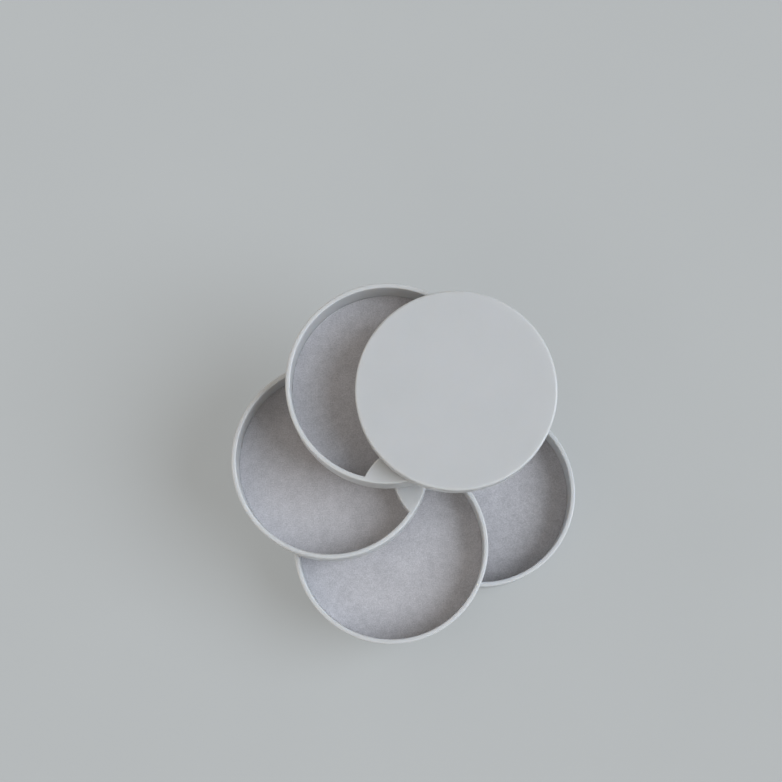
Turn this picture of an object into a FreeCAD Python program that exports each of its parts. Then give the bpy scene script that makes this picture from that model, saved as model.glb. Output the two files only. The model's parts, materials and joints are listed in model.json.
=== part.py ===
import FreeCAD, Part
import math
import os
import Sketcher

# Jewelry organizer: four round trays and a lid that all swivel about one upright pin near their rims.
# Lengths are millimetres and turns are degrees.
# The origin is where the swivel axis meets the table, and +Z is up.
# Every layer is drawn with the swivel axis at its own origin and its middle out along its own +X,
# then lifted to its level and turned to its place in the fan.

SIZES = {
    # Tray moulding
    "tray_radius": 51.0,
    "tray_height": 25.4,
    "tray_wall": 2.4,
    "tray_floor": 2.4,
    "rim_outer_round": 0.8,
    "rim_inner_round": 0.6,
    "foot_round": 1.0,
    "well_tip_round": 0.8,
    # Hub: the lens-shaped part of each tray that holds the swivel axis, hollow from below
    "hub_arc_radius": 32.0,
    "hub_plate": 2.4,
    "hub_wall": 1.6,
    "hub_rib": 1.6,
    "boss_wall": 1.3,
    "boss_to_wall_gap": 2.05,
    "boss_to_well_gap": 0.9,
    # Flannel-faced liner pads
    "liner_thickness": 3.6,
    "liner_clearance": 0.3,
    "liner_tip_round": 1.5,
    "liner_edge_round": 0.9,
    # Slip washers between the layers
    "slip_washer_radius": 6.5,
    "slip_washer_thickness": 1.2,
    "slip_washer_sink": 0.6,
    "slip_washer_clearance": 0.1,
    # Pivot bolt
    "bolt_radius": 2.5,
    "bolt_clearance": 0.05,
    "bolt_tail": 0.4,
    "bolt_end_chamfer": 0.35,
    "head_flats": 8.0,
    "head_height": 3.5,
    "head_clearance": 0.1,
    # Washer, conical spring and lock nut on the bolt's top end
    "washer_bore_clearance": 0.15,
    "nut_washer_radius": 5.0,
    "nut_washer_thickness": 1.0,
    "spring_radius": 4.9,
    "spring_height": 0.75,
    "spring_thickness": 0.5,
    "nut_flats": 8.0,
    "nut_hex_height": 3.3,
    "nut_height": 4.7,
    "nut_collar_radius": 3.6,
    "nut_collar_round": 0.5,
    "nut_clearance": 0.02,
    # Lid
    "lid_inset": 1.0,
    "lid_wall": 2.4,
    "lid_top": 2.2,
    "lid_top_round": 1.2,
    "lid_foot_round": 0.6,
    "lid_head_room": 0.35,
    "plate_thickness": 2.0,
    "plate_boss_rise": 0.6,
    "plate_boss_margin": 0.4,
    "plate_clearance": 0.1,
    "plate_ledge": 1.2,
    # Anti-slip pad under the base tray
    "pad_inset": 3.4,
    "pad_thickness": 1.5,
    "pad_sink": 0.7,
    "pad_clearance": 0.2,
    "pad_round": 0.3,
    # Fan: the direction from the swivel axis to each layer's middle
    "lid_turn": 55.2,
    "top_tray_turn": 106.1,
    "second_tray_turn": 175.3,
    "third_tray_turn": 256.7,
    "base_tray_turn": 347.7,
    # Largest share of a wall that a rounded edge may take
    "round_limit_share": 0.45,
}

WORKED = {
    # Radii about the swivel axis
    "bore_radius": "Sizes.bolt_radius + Sizes.bolt_clearance",
    "head_corner": "Sizes.head_flats / 2 / cos(30 deg)",
    "head_pocket_corner": "(Sizes.head_flats / 2 + Sizes.head_clearance) / cos(30 deg)",
    "nut_corner": "Sizes.nut_flats / 2 / cos(30 deg)",
    "nut_bore_radius": "Sizes.bolt_radius + Sizes.nut_clearance",
    "washer_bore_radius": "Sizes.bolt_radius + Sizes.washer_bore_clearance",
    "slip_seat_radius": "Sizes.slip_washer_radius + Sizes.slip_washer_clearance",
    "boss_radius": "head_pocket_corner + Sizes.boss_wall",
    # The hub's place in the tray
    "well_radius": "Sizes.tray_radius - Sizes.tray_wall",
    "axis_offset": "well_radius - Sizes.boss_to_wall_gap - boss_radius",
    "hub_reach": "boss_radius + Sizes.boss_to_well_gap + Sizes.hub_wall",
    "hub_centre": "Sizes.hub_arc_radius - hub_reach",
    "cavity_radius": "Sizes.hub_arc_radius - Sizes.hub_wall",
    "cavity_depth": "Sizes.tray_height - Sizes.hub_plate",
    "rib_half": "Sizes.hub_rib / 2",
    "rib_to_wall": "boss_radius + Sizes.boss_to_wall_gap + Sizes.tray_wall / 2",
    "rib_to_well": "hub_reach - Sizes.hub_wall / 2",
    "rib_span": "sqrt((Sizes.hub_arc_radius - Sizes.hub_wall / 2) ^ 2 - hub_centre ^ 2)",
    "rim_outer_fillet": "min(Sizes.rim_outer_round; Sizes.tray_wall * Sizes.round_limit_share)",
    "rim_inner_fillet": "min(Sizes.rim_inner_round; Sizes.tray_wall * Sizes.round_limit_share)",
    "foot_fillet": "min(Sizes.foot_round; Sizes.tray_floor * Sizes.round_limit_share)",
    # Liner outline
    "liner_disc_radius": "well_radius - Sizes.liner_clearance",
    "liner_hub_radius": "Sizes.hub_arc_radius + Sizes.liner_clearance",
    "liner_edge_fillet": "min(Sizes.liner_edge_round; Sizes.liner_thickness * Sizes.round_limit_share)",
    # Levels above the table, and of a slip washer's seat above its tray's underside
    "table_level": "0",
    "slip_seat_level": "Sizes.tray_height - Sizes.slip_washer_sink",
    "base_tray_level": "Sizes.pad_thickness - Sizes.pad_sink",
    "layer_pitch": "Sizes.tray_height + Sizes.slip_washer_thickness - Sizes.slip_washer_sink",
    "third_tray_level": "base_tray_level + layer_pitch",
    "second_tray_level": "third_tray_level + layer_pitch",
    "top_tray_level": "second_tray_level + layer_pitch",
    "lid_level": "top_tray_level + layer_pitch",
    "nut_washer_level": "lid_level + Sizes.plate_thickness + Sizes.plate_boss_rise",
    "spring_level": "nut_washer_level + Sizes.nut_washer_thickness",
    "nut_level": "spring_level + Sizes.spring_height",
    "bolt_end_level": "nut_level + Sizes.nut_height + Sizes.bolt_tail",
    "bolt_length": "bolt_end_level - Sizes.pad_thickness",
    "head_pocket_depth": "Sizes.pad_sink + Sizes.head_height",
    "pad_radius": "Sizes.tray_radius - Sizes.pad_inset",
    "pad_seat_radius": "pad_radius + Sizes.pad_clearance",
    # Lid, which is as tall as the nut and bolt end inside it need
    "lid_height": "bolt_end_level + Sizes.lid_head_room + Sizes.lid_top - lid_level",
    "lid_radius": "Sizes.tray_radius - Sizes.lid_inset",
    "plate_seat_radius": "lid_radius - Sizes.lid_wall",
    "plate_radius": "plate_seat_radius - Sizes.plate_clearance",
    "plate_boss_radius": "Sizes.nut_washer_radius + Sizes.plate_boss_margin",
    "plate_boss_height": "Sizes.plate_thickness + Sizes.plate_boss_rise",
    "lid_hollow_radius": "plate_seat_radius - Sizes.plate_ledge",
    "lid_hollow_depth": "lid_height - Sizes.lid_top",
    "lid_top_fillet": "min(Sizes.lid_top_round; Sizes.lid_wall * Sizes.round_limit_share)",
    "lid_foot_fillet": "min(Sizes.lid_foot_round; Sizes.lid_wall * Sizes.round_limit_share)",
    "pad_fillet": "min(Sizes.pad_round; (Sizes.pad_thickness - Sizes.pad_sink) * Sizes.round_limit_share)",
}

# From the table upwards
TRAYS = ("base_tray", "third_tray", "second_tray", "top_tray")
LAYERS = TRAYS + ("lid",)

HEXAGON_SIDES = 6
# Two edges count as the same size within this share of it
MATCH_SHARE = 1e-6

# A sketch names its own origin and axes, and the ends and centre of a curve, by these numbers
ORIGIN = (-1, 1)
X_AXIS = -1
START, END, CENTRE = range(1, 4)
UP = FreeCAD.Vector(0, 0, 1)

doc = FreeCAD.newDocument("jewelry_organizer")


def fill_sheet(name, cells):
    """Write each named value to a row of a new spreadsheet."""
    sheet = doc.addObject("Spreadsheet::Sheet", name)
    for row, (alias, content) in enumerate(cells.items(), start=1):
        sheet.set(f"A{row}", alias)
        sheet.set(f"B{row}", content)
        sheet.setAlias(f"B{row}", alias)
    return sheet


sizes = fill_sheet("Sizes", {alias: str(number) for alias, number in SIZES.items()})
worked = fill_sheet("Worked", {alias: "=" + formula for alias, formula in WORKED.items()})
doc.recompute()


def cell(alias):
    """The expression that reads a named value."""
    sheet = sizes if alias in SIZES else worked
    return f"{sheet.Name}.{alias}"


def value(alias):
    """The number that a named value holds now."""
    sheet = sizes if alias in SIZES else worked
    return float(sheet.get(alias))


def new_body(label, level, turn=None):
    """An empty sub-part at its level above the table, turned about the swivel axis."""
    body = doc.addObject("PartDesign::Body", label)
    body.Label = label
    body.setExpression("Placement.Base.z", cell(level))
    if turn:
        body.setExpression("Placement.Rotation.Angle", f"{cell(turn)} * 1 deg")
    return body


def new_sketch(body, name, role="XY_Plane", level=None):
    """A sketch on one of the body's origin planes, raised to a named level inside the body."""
    plane = next(feature for feature in body.Origin.OriginFeatures if feature.Role == role)
    sketch = body.newObject("Sketcher::SketchObject", f"{body.Label}_{name}_sketch")
    sketch.AttachmentSupport = [(plane, "")]
    sketch.MapMode = "FlatFace"
    if level:
        sketch.setExpression("AttachmentOffset.Base.z", cell(level))
    return sketch


def bind(sketch, constraint, alias):
    """Add a dimension to a sketch and tie it to a named value."""
    index = sketch.addConstraint(constraint)
    name = f"dimension_{index}"
    sketch.renameConstraint(index, name)
    sketch.setExpression(f"Constraints.{name}", cell(alias))


def centre_on_axis(sketch, curve, alias, beyond=False):
    """Hold a curve's centre on the X axis, a named distance out from the origin, or beyond it."""
    sketch.addConstraint(Sketcher.Constraint("PointOnObject", curve, CENTRE, X_AXIS))
    ends = (curve, CENTRE) + ORIGIN if beyond else ORIGIN + (curve, CENTRE)
    bind(sketch, Sketcher.Constraint("DistanceX", *ends, value(alias)), alias)


def draw_circle(sketch, radius, offset=None):
    """A circle about the swivel axis, or about a point out along the X axis."""
    middle = FreeCAD.Vector(value(offset) if offset else 0, 0, 0)
    circle = sketch.addGeometry(Part.Circle(middle, UP, value(radius)))
    if offset:
        centre_on_axis(sketch, circle, offset)
    else:
        sketch.addConstraint(Sketcher.Constraint("Coincident", circle, CENTRE, *ORIGIN))
    bind(sketch, Sketcher.Constraint("Radius", circle, value(radius)), radius)


def draw_two_arcs(sketch, disc_radius, hub_radius, on_hub_side):
    """Outline the tray's disc less the hub's circle, which is the well, or the lens where the two meet."""
    disc = value(disc_radius)
    hub = value(hub_radius)
    offset = value("axis_offset")
    centre = value("hub_centre")
    cross_x = (hub ** 2 - disc ** 2 + offset ** 2 - centre ** 2) / (2 * (offset + centre))
    cross_y = math.sqrt(hub ** 2 - (cross_x + centre) ** 2)
    disc_angle = math.atan2(cross_y, cross_x - offset)
    hub_angle = math.atan2(cross_y, cross_x + centre)
    disc_circle = Part.Circle(FreeCAD.Vector(offset, 0, 0), UP, disc)
    hub_circle = Part.Circle(FreeCAD.Vector(-centre, 0, 0), UP, hub)
    disc_span = (disc_angle, 2 * math.pi - disc_angle) if on_hub_side else (-disc_angle, disc_angle)
    disc_arc = sketch.addGeometry(Part.ArcOfCircle(disc_circle, *disc_span))
    hub_arc = sketch.addGeometry(Part.ArcOfCircle(hub_circle, -hub_angle, hub_angle))
    low_end, high_end = (END, START) if on_hub_side else (START, END)
    sketch.addConstraint(Sketcher.Constraint("Coincident", disc_arc, low_end, hub_arc, START))
    sketch.addConstraint(Sketcher.Constraint("Coincident", disc_arc, high_end, hub_arc, END))
    centre_on_axis(sketch, disc_arc, "axis_offset")
    centre_on_axis(sketch, hub_arc, "hub_centre", beyond=True)
    bind(sketch, Sketcher.Constraint("Radius", disc_arc, disc), disc_radius)
    bind(sketch, Sketcher.Constraint("Radius", hub_arc, hub), hub_radius)


def draw_polygon(sketch, corners):
    """Straight lines through the corners and back to the first one. Returns the lines."""
    lines = []
    for here, there in zip(corners, corners[1:] + corners[:1]):
        lines.append(sketch.addGeometry(Part.LineSegment(here, there)))
    for line, following in zip(lines, lines[1:] + lines[:1]):
        sketch.addConstraint(Sketcher.Constraint("Coincident", line, END, following, START))
    return lines


def draw_rectangle(sketch, left, right, half_width):
    """A rectangle round the swivel axis, with each side at a named distance from it."""
    west, east, half = value(left), value(right), value(half_width)
    corners = ((-west, -half), (east, -half), (east, half), (-west, half))
    bottom, right_side, top, left_side = draw_polygon(sketch, [FreeCAD.Vector(x, y, 0) for x, y in corners])
    for line in (bottom, top):
        sketch.addConstraint(Sketcher.Constraint("Horizontal", line))
    for line in (left_side, right_side):
        sketch.addConstraint(Sketcher.Constraint("Vertical", line))
    bind(sketch, Sketcher.Constraint("DistanceX", left_side, START, *ORIGIN, west), left)
    bind(sketch, Sketcher.Constraint("DistanceX", *ORIGIN, right_side, START, east), right)
    bind(sketch, Sketcher.Constraint("DistanceY", bottom, START, *ORIGIN, half), half_width)
    bind(sketch, Sketcher.Constraint("DistanceY", *ORIGIN, top, START, half), half_width)


def draw_hexagon(sketch, corner_radius):
    """A regular hexagon about the swivel axis, one corner on the X axis."""
    reach = value(corner_radius)
    turns = [2 * math.pi * side / HEXAGON_SIDES for side in range(HEXAGON_SIDES)]
    corners = [FreeCAD.Vector(reach * math.cos(turn), reach * math.sin(turn), 0) for turn in turns]
    lines = draw_polygon(sketch, corners)
    circle = sketch.addGeometry(Part.Circle(FreeCAD.Vector(), UP, reach), True)
    sketch.addConstraint(Sketcher.Constraint("Coincident", circle, CENTRE, *ORIGIN))
    bind(sketch, Sketcher.Constraint("Radius", circle, reach), corner_radius)
    for line in lines:
        sketch.addConstraint(Sketcher.Constraint("PointOnObject", line, START, circle))
    for line in lines[1:]:
        sketch.addConstraint(Sketcher.Constraint("Equal", lines[0], line))
    sketch.addConstraint(Sketcher.Constraint("PointOnObject", lines[0], START, X_AXIS))


def pad(body, name, sketch, length):
    """Raise a sketch to a solid of a named height."""
    feature = body.newObject("PartDesign::Pad", f"{body.Label}_{name}")
    feature.Profile = sketch
    feature.setExpression("Length", cell(length))
    doc.recompute()
    return feature


def pocket(body, name, sketch, depth=None, upwards=True):
    """Cut a sketch into the body by a named depth, or right through it, and check that it cut something."""
    volume = body.Tip.Shape.Volume
    feature = body.newObject("PartDesign::Pocket", f"{body.Label}_{name}")
    feature.Profile = sketch
    feature.Reversed = upwards
    if depth:
        feature.setExpression("Length", cell(depth))
    else:
        feature.Type = "ThroughAll"
    doc.recompute()
    if not feature.Shape.Volume < volume:
        raise RuntimeError(f"{feature.Name} cuts nothing")
    return feature


def circle_edges(feature, radius, height):
    """Names of the feature's level circular edges of a named radius at a height inside its body."""
    wanted = value(radius)
    names = []
    for number, edge in enumerate(feature.Shape.Edges, start=1):
        if not isinstance(edge.Curve, Part.Circle):
            continue
        level = abs(edge.CenterOfMass.z - height) < wanted * MATCH_SHARE
        if level and abs(edge.Curve.Radius - wanted) < wanted * MATCH_SHARE:
            names.append(f"Edge{number}")
    return names


def tip_edges(feature):
    """Names of the feature's straight edges that stand on a tray's floor: the two tips beside the hub."""
    floor = value("tray_floor")
    names = []
    for number, edge in enumerate(feature.Shape.Edges, start=1):
        stands = abs(edge.BoundBox.ZMin - floor) < floor * MATCH_SHARE
        if stands and isinstance(edge.Curve, Part.Line):
            names.append(f"Edge{number}")
    return names


def edges_at(feature, height):
    """Names of all the feature's edges that lie level at a height inside its body."""
    names = []
    for number, edge in enumerate(feature.Shape.Edges, start=1):
        box = edge.BoundBox
        if abs(box.ZMin - height) + abs(box.ZMax - height) < height * MATCH_SHARE:
            names.append(f"Edge{number}")
    return names


def blunt(body, kind, name, feature, edges, size):
    """Round or chamfer some edges of a feature by a named size."""
    if not edges:
        raise RuntimeError(f"{body.Label} has no edge for {name}")
    finish = body.newObject(f"PartDesign::{kind}", f"{body.Label}_{name}")
    finish.Base = (feature, edges)
    finish.setExpression("Radius" if kind == "Fillet" else "Size", cell(size))
    doc.recompute()
    return finish


def make_tray(label):
    """One tray: a round well beside a lens-shaped hub, which is hollow from below with a ribbed boss."""
    body = new_body(label, f"{label}_level", f"{label}_turn")

    outline = new_sketch(body, "outline")
    draw_circle(outline, "tray_radius", "axis_offset")
    pad(body, "block", outline, "tray_height")

    well = new_sketch(body, "well", level="tray_floor")
    draw_two_arcs(well, "well_radius", "hub_arc_radius", on_hub_side=False)
    feature = pocket(body, "well", well)
    blunt(body, "Fillet", "well_tips", feature, tip_edges(feature), "well_tip_round")

    cavity = new_sketch(body, "cavity")
    draw_two_arcs(cavity, "well_radius", "cavity_radius", on_hub_side=True)
    pocket(body, "cavity", cavity, "cavity_depth")

    boss = new_sketch(body, "boss")
    draw_circle(boss, "boss_radius")
    pad(body, "boss", boss, "tray_height")

    long_rib = new_sketch(body, "long_rib")
    draw_rectangle(long_rib, "rib_half", "rib_half", "rib_span")
    pad(body, "long_rib", long_rib, "cavity_depth")

    short_rib = new_sketch(body, "short_rib")
    draw_rectangle(short_rib, "rib_to_wall", "rib_to_well", "rib_half")
    pad(body, "short_rib", short_rib, "cavity_depth")

    bore = new_sketch(body, "bore")
    draw_circle(bore, "bore_radius")
    pocket(body, "bore", bore)

    washer_seat = new_sketch(body, "washer_seat", level="tray_height")
    draw_circle(washer_seat, "slip_seat_radius")
    feature = pocket(body, "washer_seat", washer_seat, "slip_washer_sink", upwards=False)

    if label == "base_tray":
        pad_seat = new_sketch(body, "pad_seat")
        draw_circle(pad_seat, "pad_seat_radius", "axis_offset")
        pocket(body, "pad_seat", pad_seat, "pad_sink")

        head_pocket = new_sketch(body, "head_pocket")
        draw_hexagon(head_pocket, "head_pocket_corner")
        feature = pocket(body, "head_pocket", head_pocket, "head_pocket_depth")

    rim = value("tray_height")
    foot = circle_edges(feature, "tray_radius", 0)
    feature = blunt(body, "Fillet", "foot_round", feature, foot, "foot_fillet")
    outer = circle_edges(feature, "tray_radius", rim)
    feature = blunt(body, "Fillet", "rim_outer", feature, outer, "rim_outer_fillet")
    inner = []
    for radius in ("well_radius", "hub_arc_radius", "well_tip_round"):
        inner += circle_edges(feature, radius, rim)
    blunt(body, "Fillet", "rim_inner", feature, inner, "rim_inner_fillet")
    return body


def make_liner(tray):
    """The flannel-faced pad on a tray's floor, cut to the well with soft tips and a rolled top edge."""
    label = f"{tray}_liner"
    body = new_body(label, f"{tray}_level", f"{tray}_turn")
    outline = new_sketch(body, "outline", level="tray_floor")
    draw_two_arcs(outline, "liner_disc_radius", "liner_hub_radius", on_hub_side=False)
    feature = pad(body, "sheet", outline, "liner_thickness")
    feature = blunt(body, "Fillet", "tips", feature, tip_edges(feature), "liner_tip_round")
    top = value("tray_floor") + value("liner_thickness")
    blunt(body, "Fillet", "rolled_edge", feature, edges_at(feature, top), "liner_edge_fillet")
    return body


def make_washer(label, level, radius, bore_radius, thickness, raised=None):
    """A flat round washer about the swivel axis."""
    body = new_body(label, level)
    outline = new_sketch(body, "outline", level=raised)
    draw_circle(outline, radius)
    draw_circle(outline, bore_radius)
    pad(body, "disc", outline, thickness)
    return body


def make_spring():
    """The conical spring washer: its outer edge bears on the flat washer and its inner edge on the nut."""
    body = new_body("disc_spring", "spring_level")
    section = new_sketch(body, "section", role="XZ_Plane")
    bore, outside = value("washer_bore_radius"), value("spring_radius")
    full, sheet = value("spring_height"), value("spring_thickness")
    corners = ((outside, 0), (outside, sheet), (bore, full), (bore, full - sheet))
    outer, top, inner, bottom = draw_polygon(section, [FreeCAD.Vector(x, y, 0) for x, y in corners])
    for line in (outer, inner):
        section.addConstraint(Sketcher.Constraint("Vertical", line))
    section.addConstraint(Sketcher.Constraint("PointOnObject", outer, START, X_AXIS))
    bind(section, Sketcher.Constraint("DistanceX", *ORIGIN, outer, START, outside), "spring_radius")
    bind(section, Sketcher.Constraint("DistanceX", *ORIGIN, inner, START, bore), "washer_bore_radius")
    bind(section, Sketcher.Constraint("DistanceY", outer, START, outer, END, sheet), "spring_thickness")
    bind(section, Sketcher.Constraint("DistanceY", inner, END, inner, START, sheet), "spring_thickness")
    bind(section, Sketcher.Constraint("DistanceY", *ORIGIN, inner, START, full), "spring_height")
    cone = body.newObject("PartDesign::Revolution", "disc_spring_cone")
    cone.Profile = section
    cone.ReferenceAxis = (section, ["V_Axis"])
    doc.recompute()
    return body


def make_bolt():
    """The pivot: a hex head that the base tray keeps from turning, and a plain shank through every boss."""
    body = new_body("pivot_bolt", "pad_thickness", "base_tray_turn")
    head = new_sketch(body, "head")
    draw_hexagon(head, "head_corner")
    pad(body, "head", head, "head_height")
    shank = new_sketch(body, "shank")
    draw_circle(shank, "bolt_radius")
    feature = pad(body, "shank", shank, "bolt_length")
    end = circle_edges(feature, "bolt_radius", value("bolt_length"))
    blunt(body, "Chamfer", "end", feature, end, "bolt_end_chamfer")
    return body


def make_nut():
    """The lock nut: a hexagon with the round collar that grips the thread."""
    body = new_body("lock_nut", "nut_level")
    hexagon = new_sketch(body, "hexagon")
    draw_hexagon(hexagon, "nut_corner")
    pad(body, "hexagon", hexagon, "nut_hex_height")
    collar = new_sketch(body, "collar")
    draw_circle(collar, "nut_collar_radius")
    pad(body, "collar", collar, "nut_height")
    bore = new_sketch(body, "bore")
    draw_circle(bore, "nut_bore_radius")
    feature = pocket(body, "bore", bore)
    brim = circle_edges(feature, "nut_collar_radius", value("nut_height"))
    blunt(body, "Fillet", "collar_round", feature, brim, "nut_collar_round")
    return body


def make_lid_cover():
    """The lid's top and skirt in one moulding, hollow from below, with a seat for its closing plate."""
    body = new_body("lid_cover", "lid_level", "lid_turn")
    outline = new_sketch(body, "outline")
    draw_circle(outline, "lid_radius", "axis_offset")
    pad(body, "block", outline, "lid_height")
    hollow = new_sketch(body, "hollow")
    draw_circle(hollow, "lid_hollow_radius", "axis_offset")
    pocket(body, "hollow", hollow, "lid_hollow_depth")
    seat = new_sketch(body, "plate_seat")
    draw_circle(seat, "plate_seat_radius", "axis_offset")
    feature = pocket(body, "plate_seat", seat, "plate_thickness")
    top = circle_edges(feature, "lid_radius", value("lid_height"))
    feature = blunt(body, "Fillet", "top_round", feature, top, "lid_top_fillet")
    foot = circle_edges(feature, "lid_radius", 0)
    blunt(body, "Fillet", "foot_round", feature, foot, "lid_foot_fillet")
    return body


def make_lid_plate():
    """The plate that closes the lid from below, with the boss that turns on the pivot bolt."""
    body = new_body("lid_plate", "lid_level", "lid_turn")
    outline = new_sketch(body, "outline")
    draw_circle(outline, "plate_radius", "axis_offset")
    pad(body, "disc", outline, "plate_thickness")
    boss = new_sketch(body, "boss")
    draw_circle(boss, "plate_boss_radius")
    pad(body, "boss", boss, "plate_boss_height")
    bore = new_sketch(body, "bore")
    draw_circle(bore, "bore_radius")
    pocket(body, "bore", bore)
    return body


def make_pad():
    """The thin foam disc that the organizer stands on, let into the base tray's underside."""
    body = new_body("anti_slip_pad", "table_level", "base_tray_turn")
    outline = new_sketch(body, "outline")
    draw_circle(outline, "pad_radius", "axis_offset")
    feature = pad(body, "disc", outline, "pad_thickness")
    blunt(body, "Fillet", "foot_round", feature, circle_edges(feature, "pad_radius", 0), "pad_fillet")
    return body


sub_parts = [make_pad(), make_bolt()]
for below, above in zip(LAYERS, LAYERS[1:]):
    slip_washer = (f"{below}_level", "slip_washer_radius", "washer_bore_radius", "slip_washer_thickness")
    sub_parts.append(make_tray(below))
    sub_parts.append(make_liner(below))
    sub_parts.append(make_washer(f"{above}_slip_washer", *slip_washer, raised="slip_seat_level"))
sub_parts.append(make_lid_plate())
nut_washer = ("nut_washer_level", "nut_washer_radius", "washer_bore_radius", "nut_washer_thickness")
sub_parts.append(make_washer("nut_washer", *nut_washer))
sub_parts.append(make_spring())
sub_parts.append(make_nut())
sub_parts.append(make_lid_cover())
doc.recompute()

for item in doc.Objects:
    if "Invalid" in item.State or "Error" in item.State:
        raise RuntimeError(f"{item.Name} failed: {item.State}")
for body in sub_parts:
    if body.Shape.isNull() or not body.Shape.isValid() or len(body.Shape.Solids) != 1:
        raise RuntimeError(f"{body.Label} is not one valid solid")

os.makedirs("parts", exist_ok=True)
for body in sub_parts:
    body.Shape.exportStep(os.path.join("parts", f"{body.Label}.step"))
    box = body.Shape.BoundBox
    print(f"{body.Label}: {body.Shape.Volume:.0f} mm3, z {box.ZMin:.2f} to {box.ZMax:.2f}")
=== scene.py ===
# %% [markdown]
# # Dressing a swivel-tray jewelry organizer
# The organizer is a stack of round white trays and a lid that all swing about one upright pin near their rims.
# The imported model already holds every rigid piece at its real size. This lesson gives each one its finish, lays
# a soft flannel pad in every tray, and sets up the floor, the light and the camera. Lengths are metres.

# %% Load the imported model
import json
import math

import bpy
from mathutils import Matrix, Vector


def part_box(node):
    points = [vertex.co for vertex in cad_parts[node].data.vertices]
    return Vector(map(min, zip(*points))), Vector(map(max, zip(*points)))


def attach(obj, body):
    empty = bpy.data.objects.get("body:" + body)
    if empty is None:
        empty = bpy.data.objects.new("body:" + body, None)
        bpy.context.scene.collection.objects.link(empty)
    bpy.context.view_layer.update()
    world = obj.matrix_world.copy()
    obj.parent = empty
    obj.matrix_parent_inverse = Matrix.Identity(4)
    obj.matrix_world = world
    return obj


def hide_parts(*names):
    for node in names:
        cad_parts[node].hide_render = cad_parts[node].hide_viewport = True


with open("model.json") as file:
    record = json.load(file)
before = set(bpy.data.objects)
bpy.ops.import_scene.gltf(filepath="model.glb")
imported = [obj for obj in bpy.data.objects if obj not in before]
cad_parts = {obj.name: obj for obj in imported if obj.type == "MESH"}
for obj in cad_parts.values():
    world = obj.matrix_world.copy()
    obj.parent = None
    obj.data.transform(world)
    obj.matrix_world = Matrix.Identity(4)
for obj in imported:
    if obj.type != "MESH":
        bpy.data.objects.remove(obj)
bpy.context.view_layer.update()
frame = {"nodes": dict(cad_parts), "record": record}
bpy.ops.object.select_all(action="DESELECT")
nodes = frame["nodes"]
print("nodes:", ", ".join(sorted(nodes)))

# %% [markdown]
# ## Measure the frame
# Every later place comes from the model itself. A tray's box gives its middle and its radius, because a tray is
# round, and the swivel axis is the frame's own upright axis, so the distance from the axis to a tray's middle
# is known too. Only a few small sizes that a box can't tell, such as the wall, are written here.

# %% Sizes read from the frame
MM = 0.001
TRAYS = ("base_tray", "third_tray", "second_tray", "top_tray")
TRAY_WALL = 2.4 * MM
# The hub bulges into the well as an arc of this radius, whose top lies this far past the swivel axis
HUB_ARC_RADIUS = 32.0 * MM
HUB_REACH = 8.53 * MM


def middle_of(node):
    """The middle of a node's box, which is the middle of anything round."""
    low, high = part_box(node)
    return (low + high) / 2


tray_low, tray_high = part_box("base_tray")
tray_radius = (tray_high.x - tray_low.x) / 2
well_radius = tray_radius - TRAY_WALL
axis_offset = middle_of("base_tray").xy.length
hub_offset = HUB_REACH - HUB_ARC_RADIUS
print(f"tray radius {tray_radius / MM:.1f} mm, tray middle {axis_offset / MM:.1f} mm from the axis")

# %% [markdown]
# ## Helpers for finishes
# A finish is a small graph of nodes. One function turns a colour as it is seen on screen into the linear value
# that a shader works with. Another adds any node, sets it up and plugs in what feeds it, so that each finish
# below reads as a list of what the surface is made of.

# %% Colour and node helpers
# A mix node repeats its sockets for each kind of data, so they are picked by their place
VALUE_A, VALUE_B, VALUE_MIXED = 2, 3, 0
COLOUR_A, COLOUR_B, COLOUR_MIXED = 6, 7, 2
# Nearly all of a noise lies between these values
NOISE_LOW, NOISE_HIGH = 0.3, 0.7


def linear(colour):
    """An sRGB hex colour as linear red, green, blue and alpha."""
    channels = [int(colour[start:start + 2], 16) / 255 for start in (1, 3, 5)]
    return [c / 12.92 if c <= 0.04045 else ((c + 0.055) / 1.055) ** 2.4 for c in channels] + [1.0]


def add_node(tree, kind, settings, inputs):
    """Add a node, set its own settings, and give each input a value or the output that feeds it."""
    node = tree.nodes.new(kind)
    for name, setting in settings.items():
        setattr(node, name, setting)
    for name, source in inputs.items():
        if isinstance(source, bpy.types.NodeSocket):
            tree.links.new(source, node.inputs[name])
        else:
            node.inputs[name].default_value = source
    return node


def new_material(name):
    """An empty node material, its tree, and the Object coordinates that its patterns read."""
    material = bpy.data.materials.new(name)
    material.use_nodes = True
    tree = material.node_tree
    tree.nodes.clear()
    place = add_node(tree, "ShaderNodeTexCoord", {}, {}).outputs["Object"]
    return material, tree, place


def per_metre(size):
    """The texture scale whose features are about this large."""
    return 1.0 / size


def finish_material(tree, shader):
    """Plug the shader into the material's output."""
    add_node(tree, "ShaderNodeOutputMaterial", {}, {"Surface": shader.outputs["BSDF"]})


# %% [markdown]
# ## Moulded ABS
# The trays and the lid are injection-moulded white ABS. The mould was spark-eroded, which leaves a fine satin
# grain: the eye sees a soft, wide highlight and no mirror image. Light sinks a few millimetres into the plastic
# and comes out again, which lightens rims and thin walls. Thick and thin walls cool at different rates, so the
# white drifts very slightly over centimetres, and handling leaves patches that shine a little more. An image
# of real grain would slide on the walls, so noises on Object coordinates are used instead.

# %% White moulded ABS
ABS_WHITE = "#cbced1"
ABS_COOL = "#c6cacc"
ABS_DRIFT = 22 * MM
ABS_HANDLING = 9 * MM
ABS_SHINY, ABS_SATIN = 0.34, 0.46
# Real spark grain is about 0.1 mm and would not show, so it is drawn three times as coarse
ABS_GRAIN = 0.3 * MM
ABS_GRAIN_HEIGHT = 0.012 * MM
PLASTIC_IOR = 1.53
# Red light comes out furthest from where it went in, and green and blue at these shares of that
ABS_GLOW_DEPTH = 4 * MM
ABS_GLOW_SHARES = (1.0, 0.92, 0.84)

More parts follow.
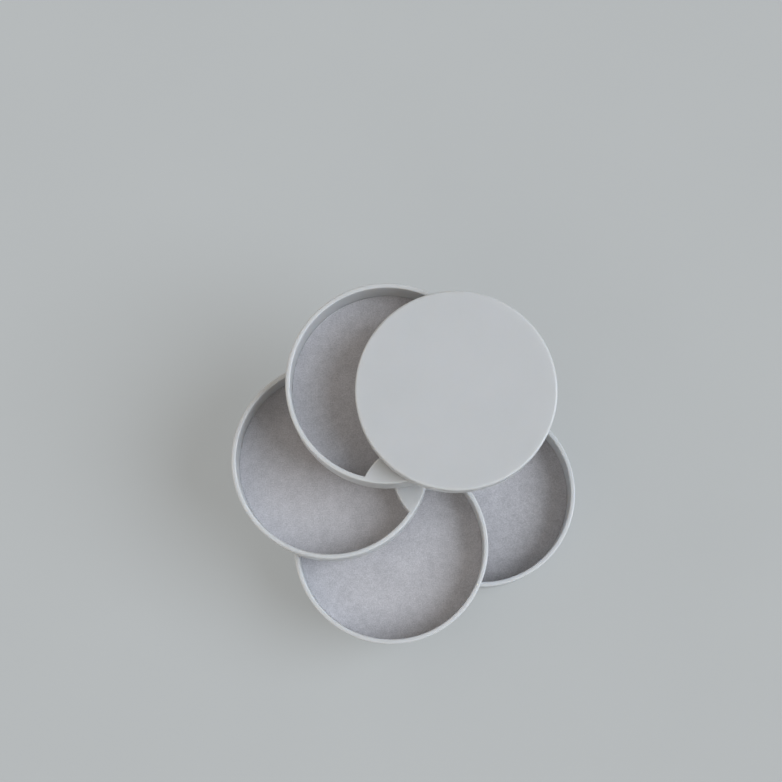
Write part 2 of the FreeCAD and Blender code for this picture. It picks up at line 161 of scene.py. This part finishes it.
abs_white, tree, place = new_material("moulded_white_abs")
drift = add_node(tree, "ShaderNodeTexNoise", {}, {
    "Vector": place, "Scale": per_metre(ABS_DRIFT), "Detail": 2.0, "Roughness": 0.45})
colour = add_node(tree, "ShaderNodeMix", {"data_type": "RGBA"}, {
    "Factor": drift.outputs["Fac"], COLOUR_A: linear(ABS_WHITE), COLOUR_B: linear(ABS_COOL)})
handling = add_node(tree, "ShaderNodeTexNoise", {}, {
    "Vector": place, "Scale": per_metre(ABS_HANDLING), "Detail": 4.0, "Roughness": 0.6})
roughness = add_node(tree, "ShaderNodeMapRange", {}, {
    "Value": handling.outputs["Fac"], "From Min": NOISE_LOW, "From Max": NOISE_HIGH,
    "To Min": ABS_SHINY, "To Max": ABS_SATIN})
grain = add_node(tree, "ShaderNodeTexNoise", {}, {
    "Vector": place, "Scale": per_metre(ABS_GRAIN), "Detail": 1.0})
bump = add_node(tree, "ShaderNodeBump", {}, {
    "Strength": 0.35, "Distance": ABS_GRAIN_HEIGHT, "Height": grain.outputs["Fac"]})
shader = add_node(tree, "ShaderNodeBsdfPrincipled", {}, {
    "Base Color": colour.outputs[COLOUR_MIXED], "Roughness": roughness.outputs["Result"],
    "Normal": bump.outputs["Normal"], "IOR": PLASTIC_IOR, "Subsurface Weight": 0.9,
    "Subsurface Radius": ABS_GLOW_SHARES, "Subsurface Scale": ABS_GLOW_DEPTH})
finish_material(tree, shader)
print("finish:", abs_white.name)

# %% [markdown]
# ## Grey flannel
# The tray floors are faced with a short-napped grey flannel with a hint of mauve. The nap catches light at a
# glancing angle, which is sheen. The grey is mottled in its colour: broad brushed patches, smaller tufts, and
# single fibres lighter and darker. This is partly the flannel's own uneven tone and partly painted sheen, where
# the nap lies this way and that, with painted glints of single fibres. Three noises of falling size give that,
# and the fine ones also lift the surface a little so that the grey breaks up under raking light.

# %% Grey napped flannel
FLANNEL_DARK = "#acacb0"
FLANNEL_LIGHT = "#d0cfd3"
FLANNEL_SHEEN = "#dedbe1"
NAP_PATCH = 14 * MM
NAP_TUFT = 2.6 * MM
# Single fibres are far finer than a pixel, so they are drawn as flecks that still show: lighter and darker in
# colour as painted glints, and raised as bumps
NAP_FLECK = 0.7 * MM
NAP_HEIGHT = 0.25 * MM
# How much tufts count against patches, and flecks against both, or against tufts where they lift the surface
TUFT_SHARE, FLECK_SHARE, FLECK_HEIGHT_SHARE = 0.5, 0.55, 0.6
# Three noises together spread less than one
NAP_LOW, NAP_HIGH = 0.36, 0.64

flannel, tree, place = new_material("grey_napped_flannel")
patch = add_node(tree, "ShaderNodeTexNoise", {}, {
    "Vector": place, "Scale": per_metre(NAP_PATCH), "Detail": 3.0, "Roughness": 0.55, "Distortion": 0.6})
tuft = add_node(tree, "ShaderNodeTexNoise", {}, {
    "Vector": place, "Scale": per_metre(NAP_TUFT), "Detail": 3.0, "Roughness": 0.6})
fleck = add_node(tree, "ShaderNodeTexNoise", {}, {
    "Vector": place, "Scale": per_metre(NAP_FLECK), "Detail": 2.0, "Roughness": 0.65})
patch_tuft = add_node(tree, "ShaderNodeMix", {"data_type": "FLOAT"}, {
    "Factor": TUFT_SHARE, VALUE_A: patch.outputs["Fac"], VALUE_B: tuft.outputs["Fac"]})
nap = add_node(tree, "ShaderNodeMix", {"data_type": "FLOAT"}, {
    "Factor": FLECK_SHARE, VALUE_A: patch_tuft.outputs[VALUE_MIXED], VALUE_B: fleck.outputs["Fac"]})
# The nap's tone runs from dark to light grey: partly the flannel's own tone, partly painted sheen and painted
# fibre glints
nap_tone_and_painted_sheen = add_node(tree, "ShaderNodeMapRange", {}, {
    "Value": nap.outputs[VALUE_MIXED], "From Min": NAP_LOW, "From Max": NAP_HIGH, "To Min": 0.0, "To Max": 1.0})
colour = add_node(tree, "ShaderNodeMix", {"data_type": "RGBA"}, {
    "Factor": nap_tone_and_painted_sheen.outputs["Result"], COLOUR_A: linear(FLANNEL_DARK), COLOUR_B: linear(FLANNEL_LIGHT)})
height = add_node(tree, "ShaderNodeMix", {"data_type": "FLOAT"}, {
    "Factor": FLECK_HEIGHT_SHARE, VALUE_A: tuft.outputs["Fac"], VALUE_B: fleck.outputs["Fac"]})
bump = add_node(tree, "ShaderNodeBump", {}, {
    "Strength": 0.6, "Distance": NAP_HEIGHT, "Height": height.outputs[VALUE_MIXED]})
shader = add_node(tree, "ShaderNodeBsdfPrincipled", {}, {
    "Base Color": colour.outputs[COLOUR_MIXED], "Roughness": 0.95, "Specular IOR Level": 0.15,
    "Sheen Weight": 0.2, "Sheen Roughness": 0.45, "Sheen Tint": linear(FLANNEL_SHEEN),
    "Normal": bump.outputs["Normal"]})
finish_material(tree, shader)
print("finish:", flannel.name)

# %% [markdown]
# ## Hardware finishes
# Inside the stack are a zinc-plated steel bolt, nut and spring washer, slip washers punched from nylon sheet,
# and under the base a disc of closed-cell foam. They hardly show, but each has its own surface: plating has a
# cloudy blue-grey lustre, nylon is milky, and foam is matte with fine cut cells, whose pits are painted darker
# as painted shade in their hollows.

# %% Zinc plate
ZINC_PALE = "#b9bcc1"
ZINC_DEEP = "#a3a8b0"
ZINC_CLOUD = 1.6 * MM
ZINC_SHINY, ZINC_DULL = 0.26, 0.42

zinc, tree, place = new_material("zinc_plated_steel")
cloud = add_node(tree, "ShaderNodeTexNoise", {}, {
    "Vector": place, "Scale": per_metre(ZINC_CLOUD), "Detail": 4.0, "Roughness": 0.6})
colour = add_node(tree, "ShaderNodeMix", {"data_type": "RGBA"}, {
    "Factor": cloud.outputs["Fac"], COLOUR_A: linear(ZINC_PALE), COLOUR_B: linear(ZINC_DEEP)})
roughness = add_node(tree, "ShaderNodeMapRange", {}, {
    "Value": cloud.outputs["Fac"], "From Min": NOISE_LOW, "From Max": NOISE_HIGH,
    "To Min": ZINC_SHINY, "To Max": ZINC_DULL})
shader = add_node(tree, "ShaderNodeBsdfPrincipled", {}, {
    "Base Color": colour.outputs[COLOUR_MIXED], "Metallic": 1.0, "Roughness": roughness.outputs["Result"]})
finish_material(tree, shader)
print("finish:", zinc.name)

# %% Nylon sheet
NYLON_MILKY = "#dcd9cf"
NYLON_CLEAR = "#cfccc2"
NYLON_FLOW = 2.2 * MM

nylon, tree, place = new_material("punched_nylon_sheet")
flow = add_node(tree, "ShaderNodeTexNoise", {}, {
    "Vector": place, "Scale": per_metre(NYLON_FLOW), "Detail": 3.0})
colour = add_node(tree, "ShaderNodeMix", {"data_type": "RGBA"}, {
    "Factor": flow.outputs["Fac"], COLOUR_A: linear(NYLON_MILKY), COLOUR_B: linear(NYLON_CLEAR)})
shader = add_node(tree, "ShaderNodeBsdfPrincipled", {}, {
    "Base Color": colour.outputs[COLOUR_MIXED], "Roughness": 0.38, "IOR": PLASTIC_IOR})
finish_material(tree, shader)
print("finish:", nylon.name)

# %% Closed-cell foam
FOAM_PAINTED_PIT_SHADE = "#2b2b2d"
FOAM_LIGHT = "#3d3d40"
FOAM_CELL = 0.6 * MM
FOAM_CELL_DEPTH = 0.12 * MM

foam, tree, place = new_material("closed_cell_foam")
# The cut cells' pits lie low in the bump and are painted darker there: painted shade in the hollows
cell_depth_and_pit_shade = add_node(tree, "ShaderNodeTexVoronoi", {}, {"Vector": place, "Scale": per_metre(FOAM_CELL)})
colour = add_node(tree, "ShaderNodeMix", {"data_type": "RGBA"}, {
    "Factor": cell_depth_and_pit_shade.outputs["Distance"], COLOUR_A: linear(FOAM_PAINTED_PIT_SHADE), COLOUR_B: linear(FOAM_LIGHT)})
bump = add_node(tree, "ShaderNodeBump", {}, {
    "Strength": 0.5, "Distance": FOAM_CELL_DEPTH, "Height": cell_depth_and_pit_shade.outputs["Distance"]})
shader = add_node(tree, "ShaderNodeBsdfPrincipled", {}, {
    "Base Color": colour.outputs[COLOUR_MIXED], "Roughness": 0.85, "Specular IOR Level": 0.25,
    "Normal": bump.outputs["Normal"]})
finish_material(tree, shader)
print("finish:", foam.name)

# %% [markdown]
# ## Dress the rigid pieces
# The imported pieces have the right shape, so they stay, and each one only swaps its plain finish for the one
# made above. The record names the material slot of every node, which says which finish it takes.

# %% Put the finishes on
FINISHES = {"white_abs": abs_white, "grey_flannel": flannel, "slip_nylon": nylon, "zinc_steel": zinc,
            "eva_foam": foam}
for entry in frame["record"]["subparts"]:
    mesh = nodes[entry["node"]].data
    mesh.materials.clear()
    mesh.materials.append(FINISHES[entry["material_slot"]])

# %% [markdown]
# ## The flannel pads
# Each tray floor carries a thin foam sheet with flannel wrapped over its edge, cut to the round well less the
# hub. The stand-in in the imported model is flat. A real pad is glued down below, while its foam pushes the cloth
# up and out against the tray's wall, so its top is never quite even. Cloth simulation gives exactly that. The
# pad is first punched from a disc and cut into small, even faces. The solver is unsteady at a few millimetres,
# so all of this is done ten times as large.

# %% Punch the pad
ENLARGED = 10.0
PAD_DETAIL = 7
# The cloth starts this far from the wall, and swells up to it
PAD_SLACK = 0.05 * MM
DISC_CORNERS = 256


def make_disc(name, radius, low, high, middle):
    """A round disc between two heights, its middle out along the X axis."""
    bpy.ops.object.select_all(action="DESELECT")
    bpy.ops.mesh.primitive_cylinder_add(
        vertices=DISC_CORNERS, radius=radius, depth=high - low, location=(middle, 0, (low + high) / 2))
    disc = bpy.context.active_object
    disc.name = name
    bpy.ops.object.transform_apply(location=True, rotation=True, scale=True)
    return disc


def apply_modifier(piece, kind, **settings):
    """Add a modifier to a piece, set it up and apply it."""
    modifier = piece.modifiers.new(kind.lower(), kind)
    for name, setting in settings.items():
        setattr(modifier, name, setting)
    bpy.context.view_layer.objects.active = piece
    bpy.ops.object.modifier_apply(modifier=modifier.name)


liner_low, liner_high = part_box("base_tray_liner")
pad_thickness = liner_high.z - liner_low.z - PAD_SLACK
pad = make_disc("flannel_pad", (well_radius - PAD_SLACK) * ENLARGED, 0, pad_thickness * ENLARGED,
                axis_offset * ENLARGED)
# The punch stands out of both faces by the pad's thickness
punch = make_disc("hub_punch", (HUB_ARC_RADIUS + PAD_SLACK) * ENLARGED, -pad_thickness * ENLARGED,
                  2 * pad_thickness * ENLARGED, hub_offset * ENLARGED)
apply_modifier(pad, "BOOLEAN", operation="DIFFERENCE", object=punch, solver="EXACT")
bpy.data.objects.remove(punch)
apply_modifier(pad, "REMESH", mode="SHARP", octree_depth=PAD_DETAIL, use_remove_disconnected=False)
print("pad punched with", len(pad.data.vertices), "points")

# %% [markdown]
# ### Swell it
# The underside is pinned, as if glued. Springs inside the pad play the foam, and air pressure swells it a
# little past its cut size. Gravity hardly matters to so light a thing, so it is off.

# %% Swell the pad
SWELLING_FRAMES = 20
PAD_PRESSURE = 10.0
FOAM_STIFFNESS = 0.01
FOAM_REACH = 6 * MM
# The lowest part of the pad that the glue holds
GLUED_SHARE = 1 / 8

glued = pad.vertex_groups.new(name="glued")
glued_height = pad_thickness * ENLARGED * GLUED_SHARE
glued.add([v.index for v in pad.data.vertices if v.co.z < glued_height], 1.0, "REPLACE")
cloth = pad.modifiers.new("cloth", "CLOTH")
cloth.point_cache.frame_end = SWELLING_FRAMES
felt = cloth.settings
felt.vertex_group_mass = glued.name
felt.effector_weights.gravity = 0
felt.use_pressure = True
felt.uniform_pressure_force = PAD_PRESSURE
felt.use_internal_springs = True
felt.internal_spring_max_length = FOAM_REACH * ENLARGED
felt.internal_tension_stiffness = felt.internal_tension_stiffness_max = FOAM_STIFFNESS
felt.internal_compression_stiffness = felt.internal_compression_stiffness_max = FOAM_STIFFNESS
for step in range(1, SWELLING_FRAMES + 1):
    bpy.context.scene.frame_set(step)
bpy.context.view_layer.objects.active = pad
bpy.ops.object.modifier_apply(modifier=cloth.name)
bpy.context.scene.frame_set(1)
print(f"pad swelled to {max(v.co.z for v in pad.data.vertices) / ENLARGED / MM:.2f} mm")

# %% [markdown]
# ### Even it out
# Away from its edge the nap evens the pad's face out, which a smoothing of those points gives. The tray's wall
# squares the edge, so its sharp edges are creased before the faces are divided once more.

# %% Smooth the face and keep the edge crisp
PAD_EDGE = 2 * MM
EVENING_PASSES = 6
SQUARE_EDGE = math.radians(40)

middle = Vector((axis_offset, 0)) * ENLARGED
hub_middle = Vector((hub_offset, 0)) * ENLARGED
face = pad.vertex_groups.new(name="face")
for vertex in pad.data.vertices:
    to_wall = well_radius * ENLARGED - (vertex.co.xy - middle).length
    to_hub = (vertex.co.xy - hub_middle).length - HUB_ARC_RADIUS * ENLARGED
    if min(to_wall, to_hub) > PAD_EDGE * ENLARGED:
        face.add([vertex.index], 1.0, "REPLACE")
apply_modifier(pad, "SMOOTH", factor=0.5, iterations=EVENING_PASSES, vertex_group=face.name)
bpy.ops.object.select_all(action="DESELECT")
pad.select_set(True)
bpy.ops.object.mode_set(mode="EDIT")
bpy.ops.mesh.select_mode(type="EDGE")
bpy.ops.mesh.select_all(action="DESELECT")
bpy.ops.mesh.edges_select_sharp(sharpness=SQUARE_EDGE)
bpy.ops.transform.edge_crease(value=1.0)
bpy.ops.object.mode_set(mode="OBJECT")
apply_modifier(pad, "SUBSURF", levels=1, render_levels=1)
bpy.ops.object.shade_smooth_by_angle(angle=SQUARE_EDGE)
pad.scale = [1 / ENLARGED] * 3
bpy.ops.object.transform_apply(location=True, rotation=True, scale=True)
pad.data.materials.clear()
pad.data.materials.append(flannel)
print("pad finished with", len(pad.data.polygons), "faces")

# %% [markdown]
# ### Lay one in every tray
# The four pads are cut alike, so the finished one is copied, turned to its tray and set on its floor. No two
# pieces of foam are quite alike, so gentle waves that run through the whole stack give each top its own rise
# and fall. Each pad stands for the flat liner of its tray and rides on the body that the tray rides on.

# %% Lay the pads
PAD_WAVE = 16 * MM
PAD_WAVE_HEIGHT = 0.16 * MM
waves = bpy.data.textures.new("nap_waves", "CLOUDS")
waves.noise_scale = PAD_WAVE

for tray in TRAYS:
    bpy.ops.object.select_all(action="DESELECT")
    pad.select_set(True)
    bpy.context.view_layer.objects.active = pad
    bpy.ops.object.duplicate(linked=False)
    laid = bpy.context.active_object
    laid.name = f"{tray}_pad"
    middle = middle_of(tray)
    laid.rotation_euler.z = math.atan2(middle.y, middle.x)
    floor_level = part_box(f"{tray}_liner")[0].z
    laid.location.z = floor_level
    bpy.ops.object.transform_apply(location=True, rotation=True, scale=True)
    top = laid.vertex_groups.new(name="top")
    half_way = floor_level + pad_thickness / 2
    top.add([v.index for v in laid.data.vertices if v.co.z > half_way], 1.0, "REPLACE")
    apply_modifier(laid, "DISPLACE", texture=waves, texture_coords="GLOBAL", direction="Z",
                   strength=PAD_WAVE_HEIGHT, vertex_group=top.name)
    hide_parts(f"{tray}_liner")
    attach(laid, "base" if tray == "base_tray" else tray)
    print("laid", laid.name)
bpy.data.objects.remove(pad)

# %% [markdown]
# ## Floor
# The organizer stands on a pale, plain table top, and its shadow there is faint. A large plane with a little
# unevenness in its tone is enough. Where it is seen, it mixes its lit surface with an even glow of the same
# colour: that lifts the shadow without putting more light on the trays.

# %% Table top
TABLE_PALE = "#bfc3c4"
TABLE_COOL = "#bbbfc0"
TABLE_DRIFT = 120 * MM
TABLE_SIZE = 40.0
# How much of the table keeps its plain level where it is seen, and that level
TABLE_LIFT = 0.5
TABLE_LEVEL = 0.9

table, tree, place = new_material("pale_table_top")
drift = add_node(tree, "ShaderNodeTexNoise", {}, {
    "Vector": place, "Scale": per_metre(TABLE_DRIFT), "Detail": 3.0})
colour = add_node(tree, "ShaderNodeMix", {"data_type": "RGBA"}, {
    "Factor": drift.outputs["Fac"], COLOUR_A: linear(TABLE_PALE), COLOUR_B: linear(TABLE_COOL)})
shader = add_node(tree, "ShaderNodeBsdfPrincipled", {}, {
    "Base Color": colour.outputs[COLOUR_MIXED], "Roughness": 0.6, "Specular IOR Level": 0.3})
glow = add_node(tree, "ShaderNodeEmission", {}, {
    "Color": colour.outputs[COLOUR_MIXED], "Strength": TABLE_LEVEL})
rays = add_node(tree, "ShaderNodeLightPath", {}, {})
mirrored = add_node(tree, "ShaderNodeMath", {"operation": "MAXIMUM"}, {
    0: rays.outputs["Is Glossy Ray"], 1: rays.outputs["Is Transmission Ray"]})
seen = add_node(tree, "ShaderNodeMath", {"operation": "MAXIMUM"}, {
    0: rays.outputs["Is Camera Ray"], 1: mirrored.outputs[0]})
lift = add_node(tree, "ShaderNodeMath", {"operation": "MULTIPLY"}, {0: seen.outputs[0], 1: TABLE_LIFT})
surface = add_node(tree, "ShaderNodeMixShader", {}, {
    0: lift.outputs[0], 1: shader.outputs["BSDF"], 2: glow.outputs["Emission"]})
add_node(tree, "ShaderNodeOutputMaterial", {}, {"Surface": surface.outputs["Shader"]})
bpy.ops.object.select_all(action="DESELECT")
bpy.ops.mesh.primitive_plane_add(size=TABLE_SIZE)
floor = bpy.context.active_object
floor.name = "table_top"
floor.data.materials.append(table)
print("floor:", floor.name)

# %% [markdown]
# ## Light
# The light is soft daylight from the right: floors darken towards their right walls, and shadows fall to the
# left with wide, soft edges. Lit surfaces look cool and shaded walls a little warm, as beside a window in a
# warm room. A wide cool key lamp gives the direction, a wider warm one fills from the left and a little from
# the front, and a faint sky reaches what neither does. Together they light a level surface at about the
# brightness of its written colour.

# %% Key, fill and sky
DAYLIGHT = "#e9f1fb"
ROOM_WARM = "#f5ece2"
KEY_FROM = Vector((0.693, -0.048, 0.719))
KEY_WIDTH = math.radians(45)
KEY_STRENGTH = 2.55
FILL_FROM = Vector((-0.741, -0.270, 0.616))
FILL_WIDTH = math.radians(100)
FILL_STRENGTH = 0.95
SKY_STRENGTH = 0.30


def add_lamp(name, start, width, strength, colour):
    """A lamp as wide as a window seen from the table, shining from start towards the middle."""
    data = bpy.data.lights.new(name, "SUN")
    data.angle = width
    data.energy = strength
    data.color = linear(colour)[:3]
    lamp = bpy.data.objects.new(name, data)
    lamp.location = start
    lamp.rotation_euler = (-start).to_track_quat("-Z", "Y").to_euler()
    bpy.context.scene.collection.objects.link(lamp)
    return lamp


key = add_lamp("key", KEY_FROM, KEY_WIDTH, KEY_STRENGTH, DAYLIGHT)
fill = add_lamp("fill", FILL_FROM, FILL_WIDTH, FILL_STRENGTH, ROOM_WARM)
world = bpy.data.worlds.new("soft_sky")
bpy.context.scene.world = world
world.use_nodes = True
sky = world.node_tree.nodes["Background"]
sky.inputs["Color"].default_value = linear(ROOM_WARM)
sky.inputs["Strength"].default_value = SKY_STRENGTH
print("lamps:", key.name, fill.name)

# %% [markdown]
# ## Camera
# The view is from almost straight above, tilted by nine degrees, from about nine tenths of a metre over the
# table. These values were worked out from the circles of the rims, which shrink from layer to layer as they
# lie further away.

# %% Camera
CAMERA_PLACE = Vector((-5.1, -94.3, 910.8)) * MM
CAMERA_TARGET = Vector((-9.1, 32.6, 116.6)) * MM
CAMERA_LENS = 75.1
PICTURE_UP = Vector((0, 1, 0))

forward = (CAMERA_TARGET - CAMERA_PLACE).normalized()
right = forward.cross(PICTURE_UP).normalized()
up = right.cross(forward)
camera_data = bpy.data.cameras.new("camera")
camera_data.lens = CAMERA_LENS
camera = bpy.data.objects.new("camera", camera_data)
camera.matrix_world = Matrix.Translation(CAMERA_PLACE) @ Matrix((right, up, -forward)).transposed().to_4x4()
bpy.context.scene.collection.objects.link(camera)
bpy.context.scene.camera = camera
bpy.context.scene.view_settings.view_transform = "Standard"
print(f"camera {(CAMERA_TARGET - CAMERA_PLACE).length / MM:.0f} mm from the lid")
